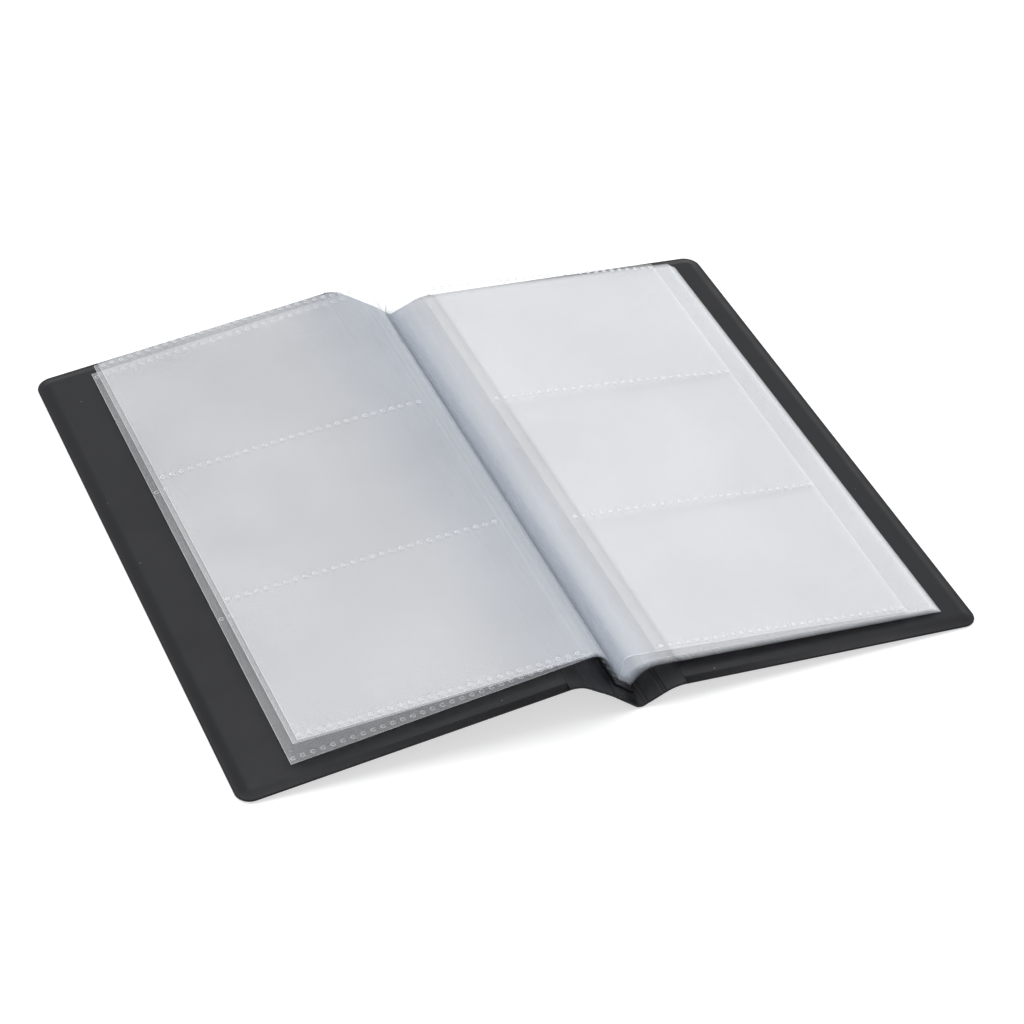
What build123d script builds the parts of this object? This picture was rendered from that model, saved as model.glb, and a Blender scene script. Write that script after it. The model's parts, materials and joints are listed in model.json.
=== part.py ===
from build123d import *
import math
import os

# Clear pocket display book for business cards, lying open as in use.
# Frame: +Y runs along the spine, +Z is up, the left panel is the front cover.
# Section angles are degrees from +X towards +Z. Sizes are millimetres.

# Cover: two stiff panels and a stiff spine, joined by two flexible hinge webs
COVER_HEIGHT = 200.0
PANEL_WIDTH = 102.5
HINGE_WIDTH = 12.5
SPINE_WIDTH = 12.5
CORNER_RADIUS = 5.0
OUTER_SKIN = 0.45
BOARD = 1.0
INNER_SKIN = 0.35
WELD_RIM = 2.2
SPINE_RIM = 1.0
RIM_SLOPE = 40.0
BOARD_EASE = 0.25
FOLD_REACH = 1.0

# How the open cover lies: the folds set the angles, the outer edges touch the table
SPINE_TILT = 39.0
FRONT_WEB_ANGLE = 147.0
BACK_WEB_ANGLE = 26.5

# Binding strip on the spine, and the roots of the leaves on it
STRIP_WIDTH = 8.0
STRIP_THICKNESS = 0.8
STRIP_CHAMFER = 0.25
STRIP_END_INSET = 4.0
ROOT_PITCH = 0.8

# Pocket leaf: a back film that runs on to the spine as a margin, and a front film welded to it
LEFT_LEAF_COUNT = 3
RIGHT_LEAF_COUNT = 7
LEAF_WIDTH = 90.0
LEAF_HEIGHT = 187.0
MARGIN_LENGTH = 16.0
MARGIN_ARCS = 6
FILM = 0.12
POCKET_GAP = 0.06
POCKET_ROWS = 3
MOUTH_SET_BACK = 2.5
WELD_WIDTH = 1.6
WELD_EDGE = 1.4
FOLD_WIDTH = 0.8

# How the leaves lie open: mouth lines fan out from the roots, outer edges rest on the covers
TOP_RIGHT_REACH = 11.9
TOP_RIGHT_ANGLE = 45.0
RIGHT_REACH = (14.8, 14.7)
RIGHT_ANGLE = (21.5, 21.0)
LEFT_REACH = (14.3, 15.4)
LEFT_ANGLE = (132.5, 123.0)
LEAF_CLEARANCE = 0.3
LEAF_STACK_PITCH = 0.4
TOP_RIGHT_LIFT = 0.4
LEFT_LIFT = 4.5

# Directions in which the margins leave the binding strip, fanned
LEFT_ROOT_ANGLE = (108.0, 102.0)
TOP_RIGHT_ROOT_ANGLE = 86.0
RIGHT_ROOT_ANGLE = (68.0, 57.0)

# How the closed book stacks its leaves, and how far a turned leaf clears the left ones
CLOSED_GAP = 0.3
CLOSED_PITCH = 0.5
TURNED_LIFT = 1.6
TURNED_OPEN_ANGLE = 4.0

LEAF_COUNT = LEFT_LEAF_COUNT + RIGHT_LEAF_COUNT
RIM_THICKNESS = OUTER_SKIN + INNER_SKIN
PANEL_THICKNESS = RIM_THICKNESS + BOARD
LEAF_THICKNESS = 2 * FILM + POCKET_GAP
ROOT_HEIGHT = PANEL_THICKNESS + STRIP_THICKNESS


def polar(length, angle):
    """Section vector of a length at an angle from +X towards +Z."""
    return Vector(length * math.cos(math.radians(angle)), 0, length * math.sin(math.radians(angle)))


def between(limits, step, steps):
    """Value at a step between two limits."""
    low, high = limits
    return low + (high - low) * step / max(steps, 1)


class Lie:
    """Where a flat piece lies in the section: its near edge, its direction and its inner side."""

    def __init__(self, origin, angle, side):
        self.origin = origin
        self.angle = angle
        self.side = side

    def at(self, along, up=0.0):
        return self.origin + polar(along, self.angle) + polar(up, self.angle + 90 * self.side)

    def height_of(self, point):
        return (point - self.origin).dot(polar(1, self.angle + 90 * self.side))

    def place(self, solid):
        inward = polar(1, self.angle + 90 * self.side)
        return Plane(self.origin, x_dir=polar(1, self.angle), z_dir=inward).location * solid


def fold_edge(corner, angle_in, angle_out, up):
    """Arc that rounds a fold between two directions, at a height above the outer face."""
    turn = angle_out - angle_in
    radius = FOLD_REACH / math.tan(math.radians(turn / 2))
    middle = angle_in + turn / 2
    sag = radius * (1 / math.cos(math.radians(turn / 2)) - 1)
    return ThreePointArc(
        corner - polar(FOLD_REACH, angle_in) + polar(up, angle_in + 90),
        corner + polar(sag + up, middle + 90),
        corner + polar(FOLD_REACH, angle_out) + polar(up, angle_out + 90),
    )


def arcs(curve, count):
    """Run of arcs through evenly spaced points of a curve."""
    marks = [curve @ (step / (2 * count)) for step in range(2 * count + 1)]
    return [ThreePointArc(*marks[2 * arc:2 * arc + 3]) for arc in range(count)]


def band(lower, upper, height):
    """Solid between two runs of section arcs, extended along the spine."""
    ends = [Line(lower[0] @ 0, upper[0] @ 0), Line(lower[-1] @ 1, upper[-1] @ 1)]
    return extrude(Face(Wire(lower + upper + ends)), amount=height / 2, dir=(0, 1, 0), both=True)


def turn_centre(start, end):
    """Point about which one turn carries a lie to another, and the turn in degrees."""
    turn = end.angle - start.angle
    half_step = (end.origin - start.origin) / 2
    across = Vector(-half_step.Z, 0, half_step.X)
    return start.origin + half_step + across / math.tan(math.radians(turn / 2)), turn


# The open cover in section, from the right fold of the spine outwards
spine_angle = 180 - SPINE_TILT
closed_angle = 90 - SPINE_TILT
right_turn = BACK_WEB_ANGLE + SPINE_TILT
right_radius = FOLD_REACH / math.tan(math.radians(right_turn / 2))
fold_floor = (polar(-FOLD_REACH, -SPINE_TILT) + polar(right_radius, closed_angle)).Z - right_radius
back_spine_fold = Vector(0, 0, -fold_floor)
front_spine_fold = back_spine_fold + polar(SPINE_WIDTH, spine_angle)
front_cover_fold = front_spine_fold + polar(HINGE_WIDTH, FRONT_WEB_ANGLE)
back_cover_fold = back_spine_fold + polar(HINGE_WIDTH, BACK_WEB_ANGLE)
front_angle = 180 + math.degrees(math.asin(front_cover_fold.Z / PANEL_WIDTH))
back_angle = -math.degrees(math.asin(back_cover_fold.Z / PANEL_WIDTH))
front_far = Lie(front_cover_fold, front_angle, -1).at(PANEL_WIDTH, RIM_THICKNESS)
back_far = Lie(back_cover_fold, back_angle, 1).at(PANEL_WIDTH, RIM_THICKNESS)
to_centre = Vector(-(front_far.X + back_far.X) / 2, 0, 0)
back_spine_fold += to_centre
front_spine_fold += to_centre
front_cover_fold += to_centre
back_cover_fold += to_centre

spine_lie = Lie(back_spine_fold, spine_angle, -1)
front_web_lie = Lie(front_spine_fold, FRONT_WEB_ANGLE, -1)
back_web_lie = Lie(back_spine_fold, BACK_WEB_ANGLE, 1)
front_lie = Lie(front_cover_fold, front_angle, -1)
back_lie = Lie(back_cover_fold, back_angle, 1)

# Angles through which the webs and panels fold to close the book
front_web_close = closed_angle - FRONT_WEB_ANGLE
front_panel_close = FRONT_WEB_ANGLE - front_angle
back_web_close = closed_angle - BACK_WEB_ANGLE
back_panel_close = BACK_WEB_ANGLE - back_angle


def leaf_root(number):
    """Foot of a leaf on the binding strip; leaf 1 is nearest the front cover."""
    middle = SPINE_WIDTH / 2 + ROOT_PITCH * (LEAF_COUNT - 1) / 2
    return spine_lie.at(middle - ROOT_PITCH * (number - 1), ROOT_HEIGHT)


def leaf_lie(number):
    """Where a pocket leaf lies open: its mouth line and the direction to its outer edge."""
    root = leaf_root(number)
    far = PANEL_THICKNESS + LEAF_CLEARANCE
    if number <= LEFT_LEAF_COUNT:
        step = number - 1
        steps = LEFT_LEAF_COUNT - 1
        mouth = root + polar(between(LEFT_REACH, step, steps), between(LEFT_ANGLE, step, steps))
        far += LEAF_THICKNESS + 2 * LEAF_STACK_PITCH * step + (LEFT_LIFT if step else 0.0)
        drop = math.degrees(math.asin((front_lie.height_of(mouth) - far) / LEAF_WIDTH))
        return Lie(mouth, front_angle + drop, 1)
    far += LEAF_STACK_PITCH * (LEAF_COUNT - number)
    if number == LEFT_LEAF_COUNT + 1:
        mouth = root + polar(TOP_RIGHT_REACH, TOP_RIGHT_ANGLE)
        far += TOP_RIGHT_LIFT
    else:
        step = number - LEFT_LEAF_COUNT - 2
        steps = RIGHT_LEAF_COUNT - 2
        mouth = root + polar(between(RIGHT_REACH, step, steps), between(RIGHT_ANGLE, step, steps))
    drop = math.degrees(math.asin((back_lie.height_of(mouth) - far) / LEAF_WIDTH))
    return Lie(mouth, back_angle - drop, 1)


def closed_lie(number):
    """Where a leaf stands in the closed book, square to the spine."""
    if number <= LEFT_LEAF_COUNT:
        from_front = PANEL_THICKNESS + CLOSED_GAP + LEAF_THICKNESS + CLOSED_PITCH * (number - 1)
        across = SPINE_WIDTH - from_front
    else:
        across = PANEL_THICKNESS + CLOSED_GAP + CLOSED_PITCH * (LEAF_COUNT - number)
    return Lie(spine_lie.at(across, ROOT_HEIGHT + MARGIN_LENGTH), closed_angle, 1)


def turned_lie():
    """Where the top right leaf lies after it is turned over to the left."""
    top_left = leaf_lie(LEFT_LEAF_COUNT)
    return Lie(top_left.origin + Vector(0, 0, TURNED_LIFT), top_left.angle - TURNED_OPEN_ANGLE, 1)


def panel_outline(near, far, inset, corner):
    """Flat outline of a panel, with its two outer corners rounded."""
    length = far - near - 2 * inset
    sheet = Pos((near + far) / 2, 0) * Rectangle(length, COVER_HEIGHT - 2 * inset)
    if corner > inset:
        sheet = fillet(sheet.vertices().group_by(Axis.X)[-1], corner - inset)
    return sheet


def welded_panel(near, far, rim, corner):
    """Outer skin, board and inner skin of a stiff panel; the inner skin steps down to a welded rim."""
    slope_width = (BOARD + INNER_SKIN) * math.tan(math.radians(RIM_SLOPE))
    outline = panel_outline(near, far, 0, corner)
    outer_skin = extrude(outline, OUTER_SKIN)
    board_inset = rim + slope_width + BOARD_EASE
    board = Pos(0, 0, OUTER_SKIN) * extrude(panel_outline(near, far, board_inset, corner), BOARD)
    raised = extrude(panel_outline(near, far, rim, corner), BOARD + INNER_SKIN, taper=RIM_SLOPE)
    inner_skin = Pos(0, 0, OUTER_SKIN) * (extrude(outline, INNER_SKIN) + raised) - board
    return {"outer_skin": outer_skin, "board": board, "inner_skin": inner_skin}


def hinge_web():
    """Flexible web of the two skins welded together, between its two folds."""
    length = HINGE_WIDTH - 2 * FOLD_REACH
    web = Box(length, COVER_HEIGHT, RIM_THICKNESS, align=(Align.MIN, Align.CENTER, Align.MIN))
    return Pos(FOLD_REACH, 0, 0) * web


def fold_strip(corner, angle_in, angle_out, side):
    """Rounded fold of the skins between two panels that meet at an angle."""
    outer = fold_edge(corner, angle_in, angle_out, 0)
    inner = fold_edge(corner, angle_in, angle_out, side * RIM_THICKNESS)
    return band([outer], [inner], COVER_HEIGHT)


def binding_strip():
    """Strip welded along the inside of the spine, to which the leaves are welded."""
    strip = Box(STRIP_WIDTH, COVER_HEIGHT - 2 * STRIP_END_INSET, STRIP_THICKNESS)
    strip = chamfer(strip.edges().filter_by(Axis.Y).group_by(Axis.Z)[-1], STRIP_CHAMFER)
    return Pos(SPINE_WIDTH / 2, 0, PANEL_THICKNESS + STRIP_THICKNESS / 2) * strip


def back_film():
    """Back film of the pockets, flat from the mouth line to the folded outer edge."""
    return Box(LEAF_WIDTH, LEAF_HEIGHT, FILM, align=(Align.MIN, Align.CENTER, Align.MIN))


def front_film():
    """Front film with the weld rows that part the pockets and the fold that shuts their outer end."""
    low = (Align.MIN, Align.CENTER, Align.MIN)
    length = LEAF_WIDTH - MOUTH_SET_BACK
    film = Pos(MOUTH_SET_BACK, 0, FILM + POCKET_GAP) * Box(length, LEAF_HEIGHT, FILM, align=low)
    row_span = LEAF_HEIGHT - 2 * WELD_EDGE
    for row in range(POCKET_ROWS + 1):
        across = row_span * (row / POCKET_ROWS - 0.5)
        film += Pos(MOUTH_SET_BACK, across, FILM) * Box(length, WELD_WIDTH, POCKET_GAP, align=low)
    film += Pos(LEAF_WIDTH - FOLD_WIDTH, 0, FILM) * Box(FOLD_WIDTH, LEAF_HEIGHT, POCKET_GAP, align=low)
    return film


def root_angle(number):
    """Direction in which a margin leaves the binding strip."""
    if number <= LEFT_LEAF_COUNT:
        return between(LEFT_ROOT_ANGLE, number - 1, LEFT_LEAF_COUNT - 1)
    if number == LEFT_LEAF_COUNT + 1:
        return TOP_RIGHT_ROOT_ANGLE
    return between(RIGHT_ROOT_ANGLE, number - LEFT_LEAF_COUNT - 2, RIGHT_LEAF_COUNT - 2)


def margin_edge(number, hold, up):
    """Curve of a margin from its root to the mouth line, at a height on the front film's side.

    Both ends keep their direction over the hold length, which changes with the height so that
    the film stays equally thick round the bend.
    """
    lie = leaf_lie(number)
    root = leaf_root(number)
    leave = root_angle(number)
    hold -= 4 / 3 * math.tan(math.radians((lie.angle - leave) / 4)) * up
    start = root + polar(up / math.sin(math.radians(spine_angle - leave)), spine_angle)
    end = lie.at(0, up)
    return Bezier(
        start,
        root + polar(up, leave + 90) + polar(hold, leave),
        end - polar(hold, lie.angle),
        end,
    )


def margin_hold(number):
    """Hold length that gives a margin its full length, found by halving."""
    low, high = 0.0, MARGIN_LENGTH
    for _ in range(24):
        middle = (low + high) / 2
        if margin_edge(number, middle, 0).length < MARGIN_LENGTH:
            low = middle
        else:
            high = middle
    return (low + high) / 2


def margin(number):
    """Curved film between the binding strip and the mouth line of a leaf."""
    hold = margin_hold(number)
    lower = arcs(margin_edge(number, hold, 0), MARGIN_ARCS)
    upper = arcs(margin_edge(number, hold, FILM), MARGIN_ARCS)
    return band(lower, upper, LEAF_HEIGHT)


def build():
    """Every piece of the book by name, where it lies."""
    pieces = {}
    for side, lie in (("front", front_lie), ("back", back_lie)):
        for layer, solid in welded_panel(FOLD_REACH, PANEL_WIDTH, WELD_RIM, CORNER_RADIUS).items():
            pieces[f"{side}_{layer}"] = lie.place(solid)
    for layer, solid in welded_panel(FOLD_REACH, SPINE_WIDTH - FOLD_REACH, SPINE_RIM, 0).items():
        pieces[f"spine_{layer}"] = spine_lie.place(solid)
    pieces["front_hinge_web"] = front_web_lie.place(hinge_web())
    pieces["back_hinge_web"] = back_web_lie.place(hinge_web())
    pieces["front_spine_fold"] = fold_strip(front_spine_fold, spine_angle, FRONT_WEB_ANGLE, -1)
    pieces["front_cover_fold"] = fold_strip(front_cover_fold, FRONT_WEB_ANGLE, front_angle, -1)
    pieces["back_spine_fold"] = fold_strip(back_spine_fold, -SPINE_TILT, BACK_WEB_ANGLE, 1)
    pieces["back_cover_fold"] = fold_strip(back_cover_fold, BACK_WEB_ANGLE, back_angle, 1)
    pieces["binding_strip"] = spine_lie.place(binding_strip())
    for number in range(1, LEAF_COUNT + 1):
        lie = leaf_lie(number)
        pieces[f"leaf_{number:02d}_back_film"] = lie.place(back_film())
        pieces[f"leaf_{number:02d}_front_film"] = lie.place(front_film())
        pieces[f"leaf_{number:02d}_margin"] = margin(number)
    return pieces


os.makedirs("parts", exist_ok=True)
for name, piece in build().items():
    export_step(piece, f"parts/{name}.step")

for number in range(1, LEAF_COUNT + 1):
    centre, turn = turn_centre(leaf_lie(number), closed_lie(number))
    length = margin_edge(number, margin_hold(number), 0).length
    print(f"leaf {number:2d} margin {length:5.2f} mm, lies at {leaf_lie(number).angle:6.2f} deg")
    print(f"    closes {turn:7.2f} deg about x {centre.X:6.2f} z {centre.Z:6.2f}")
centre, turn = turn_centre(leaf_lie(LEFT_LEAF_COUNT + 1), turned_lie())
print(f"top right leaf turns over by {turn:.2f} deg about x {centre.X:.2f} z {centre.Z:.2f}")
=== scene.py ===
import json
from collections import namedtuple

import bmesh
import bpy
import numpy as np
from bpy.props import FloatProperty, FloatVectorProperty, IntProperty, PointerProperty
from mathutils import Matrix


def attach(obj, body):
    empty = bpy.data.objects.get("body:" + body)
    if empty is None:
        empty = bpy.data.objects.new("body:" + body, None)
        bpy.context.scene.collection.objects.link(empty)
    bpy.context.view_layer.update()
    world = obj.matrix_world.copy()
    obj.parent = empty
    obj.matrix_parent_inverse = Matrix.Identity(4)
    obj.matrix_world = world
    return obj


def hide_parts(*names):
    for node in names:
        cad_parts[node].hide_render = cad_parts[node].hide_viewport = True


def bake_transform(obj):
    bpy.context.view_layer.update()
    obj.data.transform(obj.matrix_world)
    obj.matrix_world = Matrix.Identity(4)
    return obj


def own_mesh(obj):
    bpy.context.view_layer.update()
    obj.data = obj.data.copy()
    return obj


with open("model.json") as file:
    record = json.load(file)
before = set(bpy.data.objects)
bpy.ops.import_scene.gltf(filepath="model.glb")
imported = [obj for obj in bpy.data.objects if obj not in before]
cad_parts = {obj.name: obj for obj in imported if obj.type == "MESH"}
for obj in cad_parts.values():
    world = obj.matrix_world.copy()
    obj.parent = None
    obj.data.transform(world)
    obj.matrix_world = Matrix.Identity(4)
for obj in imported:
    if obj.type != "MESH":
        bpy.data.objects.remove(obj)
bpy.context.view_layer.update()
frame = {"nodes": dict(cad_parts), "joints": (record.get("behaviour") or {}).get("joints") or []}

bl_info = {
    "name": "Clear Pocket Display Book",
    "version": (1, 0, 0),
    "blender": (4, 5, 0),
    "location": "3D View > Sidebar > Pocket Book",
    "description": "Builds the cover skins, pocket films and welds of a display book round its packed solids",
    "category": "Object",
}

# Section vectors are (x, z) and angles are degrees from +X towards +Z. Lengths up here are in millimetres.
MM = 0.001

# Mouth line, lie, root on the binding strip, leaving direction and hold of the margin, as in the solids
Leaf = namedtuple("Leaf", "mouth lie root leave hold")
LEAVES = {
    1: Leaf((-11.5778, 18.4796), 188.7163, (-1.9169, 7.9365), 108.0, 6.4214),
    2: Leaf((-10.3866, 19.1748), 185.6732, (-1.2952, 7.4331), 105.0, 5.0264),
    3: Leaf((-9.0609, 19.8451), 185.4678, (-0.6735, 6.9296), 102.0, 3.2063),
    4: Leaf((8.3628, 14.8407), -5.6839, (-0.0518, 6.4262), 86.0, 9.5822),
    5: Leaf((14.3401, 11.3469), -4.1676, (0.5700, 5.9227), 68.0, 5.9345),
    6: Leaf((14.9527, 10.8121), -4.1023, (1.1917, 5.4192), 65.8, 6.2251),
    7: Leaf((15.5652, 10.2774), -4.0371, (1.8134, 4.9158), 63.6, 6.5380),
    8: Leaf((16.1776, 9.7427), -3.9720, (2.4351, 4.4123), 61.4, 6.8752),
    9: Leaf((16.7899, 9.2080), -3.9068, (3.0568, 3.9089), 59.2, 7.2390),
    10: Leaf((17.4022, 8.6734), -3.8417, (3.6785, 3.4054), 57.0, 7.6317),
}
LEFT_LEAVES = 3
LOWEST_LEFT = 1
UPPER_LEFT = (2, 3)
TOP_RIGHT = 4

# Numbers of points along the curves and runs of the skins and films
CORNER_STEPS, NOSE_STEPS, SLOPE_STEPS = 12, 11, 16
WEB_STEPS, FOLD_STEPS, STRIP_STEPS = 43, 17, 25
TIP_STEPS, RUN_STEPS = 6, 25
POCKET_STEPS, FILM_STEPS, FILM_FOLD_STEPS = 16, 27, 7

# Lap under a panel's cut edge, pressed lines of a web, and rounding of the strip's sides
EDGE_LAP = 0.4
SEAL_STEP, SEAL_WIDTH = 6, 0.3
STRIP_ROUND, STRIP_FALL = 0.4, 0.9

# Points of a film beside a weld row, a cut edge, its mouth and its seam, and the seam's place from the fold
BESIDE_ROW = (-0.8, 0.0, 0.8)
BESIDE_CUT = (0.0, 0.14, 0.4)
BESIDE_MOUTH = (0.0, 0.2, 0.6)
BESIDE_SEAM = (2.0, 1.75, 1.6, 1.45, 1.2, 0.4, 0.16)
SEAM = 1.6
# How a pocket closes towards the seam, and how a weld row draws its front film down
POCKET_CLOSE, POCKET_POWER = 8.0, 0.6
PINCH_REACH, PINCH_SHARE = 0.7, 0.6
# Ripple of the leaves along and across, shifted from leaf to leaf
RIPPLE_HEIGHT = 0.03
RIPPLE_LENGTHS, RIPPLE_SHIFTS = (47.0, 71.0), (0.31, 0.17)

# Weld rings, with half a ring's turn in degrees
RING_STEPS, RING_TURN = 9, 150
RING_STRETCH, RING_RISE, RING_LIFT = 1.15, 0.15, 0.05
RING_FROM_FOLD, RING_FROM_MOUTH = 1.3, 1.4
# Whiteness of a leaf's weld rings, and its share in the film inside them. Leaves under others have fainter
# welds, and so have the inner rows of the lowest left leaf after their first rings.
WELD_STRENGTH, WELD_FAINT = {1: 1.0, 3: 1.0, 4: 1.2}, 0.2
WELD_FILL, WELD_FILL_FAINT = {3: 0.4, 4: 0.9}, 0.25
COVERED_ROWS, OPEN_RINGS = 0.4, 2
# Weld beads along the roots, with the shoulder as a share of the radius
BEAD_SIDES, BEAD_RADIUS, BEAD_SHOULDER, BEAD_STRETCH = 6, 0.3, 0.72, 1.9
BEAD_HEIGHTS = (-0.03, 0.09, 0.13)
BEAD_PITCH, BEAD_FIRST, BEAD_LAST = 3.0, 1.5, 1.0
BEAD_STRENGTH = 0.6

# Whiteness of a pocket film along its edges, and how near to them it counts
CUT_WHITE, SEAM_WHITE, FOLD_WHITE = 0.5, 0.1, 0.7
MOUTH_WHITE_LEFT, MOUTH_WHITE_RIGHT = 0.1, 0.35
WHITE_REACH = 0.1
# Whiteness of a margin at its cut ends and beside the strip, and a painted highlight by length of film where a
# left one bends over its crest, which goes on a little way into the leaf
END_WHITE, END_FAINT = {4: 0.6}, 0.1
ROOT_WHITE, ROOT_FAINT = {4: 0.8}, 0.3
ROOT_REACH = 6.0
CREST_MARKS = (5.0, 7.0, 10.0, 12.5)
CREST_HIGHLIGHT = (0.0, 0.45, 0.45, 0.2)
CREST_ON_LEAF = 2.0
# How far the gutter's shade reaches into the left leaves
SHADE_REACH = 26.0

# At these lengths of film, a right margin goes over from the first leaf that doesn't turn by itself to the
# turning leaves above it.
FIRST_STAYING = 7
MARGIN_CHANGES = (6.0, 7.5, 9.0)
MARGIN_STEP = 0.6
LINE_STEPS = 401

# A left margin is double between two lengths of film: one film lies apart from the leaf and the other goes with
# the leaf. These shares of the front web's turn at the two lengths are read but turn nothing
DOUBLE_FROM, DOUBLE_TO = 4.0, 15.0
WEB_SHARES = {1: (0.43, 0.78), 2: (0.44, 0.74), 3: (0.49, 0.70)}
DOUBLE_GAP = 0.04
DOUBLE_THIN = 0.107

# Stage, in metres: the floor, the lamp, and the camera's directions and place
FLOOR_REACH = 4.0
LAMP_SIZE, LAMP_PLACE = 1.5, (0.0, 0.3, 1.2)
CAMERA_LENS, CAMERA_NEAR = 106.270, 0.01
CAMERA_RIGHT = (0.917250, -0.391751, 0.072093)
CAMERA_UP = (0.200256, 0.609969, 0.766612)
CAMERA_BACK = (-0.344234, -0.688813, 0.638000)
CAMERA_PLACE = (-0.318731, -0.651753, 0.597288)
FILMS_SEEN_THROUGH = 48

FOLDS = {joint["name"]: np.array([joint["pos_m"][0], joint["pos_m"][2]]) for joint in frame["joints"]}
FRONT_SPINE_FOLD = FOLDS["front_hinge_turn"]
FRONT_COVER_FOLD = FOLDS["front_cover_turn"]
BACK_SPINE_FOLD = FOLDS["back_hinge_turn"]
BACK_COVER_FOLD = FOLDS["back_cover_turn"]


# Settings

def size(name, text, default):
    """Length property in metres, with its default given in millimetres."""
    return FloatProperty(name=name, description=text, default=default * MM, unit="LENGTH", precision=5)


def share(name, text, default, most=1.0):
    """Property for a share up to the most that it may be."""
    return FloatProperty(name=name, description=text, default=default, subtype="FACTOR", min=0, max=most)


def colour(name, text, default):
    """Linear colour property."""
    return FloatVectorProperty(name=name, description=text, default=default, subtype="COLOR", size=3,
                               min=0, max=1)


class CoverSizes(bpy.types.PropertyGroup):
    """Sizes of the cover's skins, webs and binding strip."""

    height: size("Height", "Height of the cover along the spine", 200.0)
    panel_width: size("Panel width", "From the fold to the outer edge of a panel", 102.5)
    corner_radius: size("Corner radius", "Radius of the outer corners", 5.0)
    rim_slope: size("Rim slope", "Inset over which a panel rises from its rim to its full thickness", 4.6)
    rim_thickness: size("Rim thickness", "Thickness of the two welded skins", 0.8)
    panel_thickness: size("Panel thickness", "Thickness over the board", 1.8)
    edge_round: size("Edge rounding", "How far the cut edge of the rim is rounded", 0.35)
    spine_slope: size("Spine slope", "Inset over which the spine rises from its welded rim", 2.0)
    fold_reach: size("Fold reach", "From the line of a fold to the rim beside it", 1.0)
    spine_bend: size("Spine bend", "How far the bend beside the spine reaches from its line", 1.9)
    cover_bend: size("Cover bend", "How far the bend beside a panel reaches from its line", 3.2)
    seal_depth: size("Seal groove", "Depth of the pressed lines beside the folds", 0.1)
    strip_width: size("Strip width", "Width of the binding strip", 8.0)
    strip_thickness: size("Strip thickness", "Thickness of the binding strip", 0.8)
    strip_inset: size("Strip inset", "How far the strip ends inside the cover", 4.0)


class LeafSizes(bpy.types.PropertyGroup):
    """Sizes of the pocket leaves and their welds."""

    width: size("Width", "From the mouth line to the folded outer edge", 90.0)
    height: size("Height", "Height of a leaf along the spine", 187.0)
    pockets: IntProperty(name="Pockets", description="Pockets above one another in a leaf", default=3, min=1)
    mouth_set_back: size("Mouth set back", "How far the front film starts behind the mouth line", 2.5)
    back_rise: size("Back film", "Height of the back film in the leaf", 0.06)
    front_rise: size("Front film", "Height of the front film in the leaf", 0.13)
    bulge: size("Pocket bulge", "How far the middle of a pocket stands open", 0.12)
    weld_edge: size("Weld edge", "From the cut edge of a leaf to the middle of its outer weld rows", 2.0)
    weld_pitch: size("Weld pitch", "Distance from one weld ring to the next", 3.0)
    weld_radius: size("Weld ring", "Radius of a weld ring", 0.65)
    weld_wire: size("Weld ridge", "Half width of the ridge that a weld ring raises", 0.15)
    corner_rise: size("Corner rise", "How far the near outer corner of the upper left leaves lifts", 2.5)
    corner_drop: size("Corner drop", "How far the far outer corner of the upper left leaves sinks", 2.3)
    left_arch: size("Left arch", "How far the upper left leaves arch at the far end", 1.8)
    right_arch: size("Right arch", "How far the top right leaf arches at the far end", 1.3)
    edge_draw: share("Edge draw", "Share by which the top right leaf draws in at the near end", 0.034, 0.1)


class BookFinishes(bpy.types.PropertyGroup):
    """Colours of the book's materials."""

    vinyl: colour("Cover skin", "Black plastic skin of the cover", (0.0085, 0.0088, 0.0103))
    strip: colour("Binding strip", "Black plastic of the binding strip", (0.006, 0.006, 0.0066))
    film: colour("Clear film", "Haze of the clear film", (0.93, 0.945, 0.985))
    # Film shade is painted shade: a darker, bluer tint with a thinner veil that stands in for the dim
    # reflection where the film curves into the gutter.
    shade: colour("Film shade", "Haze of the film where it curves into the gutter", (0.84, 0.89, 0.97))
    weld: colour("Weld", "Whitened film of the welds", (0.93, 0.945, 0.97))
    board: colour("Board", "Grey pulp board", (0.42, 0.4, 0.37))
    dust: colour("Dust", "Specks of dust on the cover", (0.08, 0.08, 0.085))
    haze: share("Film haze", "Share of light that one film stops", 0.128)
    margin_haze: share("Margin haze", "Whiteness that bending adds to the margins", 0.03)


class StageLight(bpy.types.PropertyGroup):
    """Strength of the studio light."""

    room: FloatProperty(name="Room light", description="Strength of the even light all round", default=0.54,
                        min=0)
    key: FloatProperty(name="Key light", description="Power of the wide lamp overhead", default=14.8, min=0,
                       subtype="POWER")


class PocketBook(bpy.types.PropertyGroup):
    """All settings of the display book."""

    cover: PointerProperty(type=CoverSizes)
    leaf: PointerProperty(type=LeafSizes)
    finish: PointerProperty(type=BookFinishes)
    light: PointerProperty(type=StageLight)


def settings():
    """The scene's settings for the book."""
    return bpy.context.scene.pocket_book


# Shapes

def polar(length, angle):
    """Section vector: length times (cosine, sine) of the angle."""
    turn = np.radians(angle)
    return np.stack(np.broadcast_arrays(length * np.cos(turn), length * np.sin(turn)), axis=-1)


def bearing(start, end):
    """Angle of the line from one section point to another."""
    return np.degrees(np.arctan2(end[1] - start[1], end[0] - start[0]))


def spine_lie():
    """Angle of the spine from its back fold to its front fold."""
    return bearing(BACK_SPINE_FOLD, FRONT_SPINE_FOLD)


def spine_width():
    """Distance between the spine's two folds."""
    return np.linalg.norm(FRONT_SPINE_FOLD - BACK_SPINE_FOLD)


def panel_lie(name):
    """Angle at which a panel falls to the floor: the arcsine of its fold's height over its width."""
    width = settings().cover.panel_width
    if name == "front":
        return 180 + np.degrees(np.arcsin(FRONT_COVER_FOLD[1] / width))
    return -np.degrees(np.arcsin(BACK_COVER_FOLD[1] / width))


def lay(origin, angle, along, up, side=1):
    """Section point: the origin, plus a distance along the lie, plus a height square to it on one side."""
    return np.asarray(origin) + polar(along, angle) + polar(up, angle + 90 * side)


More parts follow.
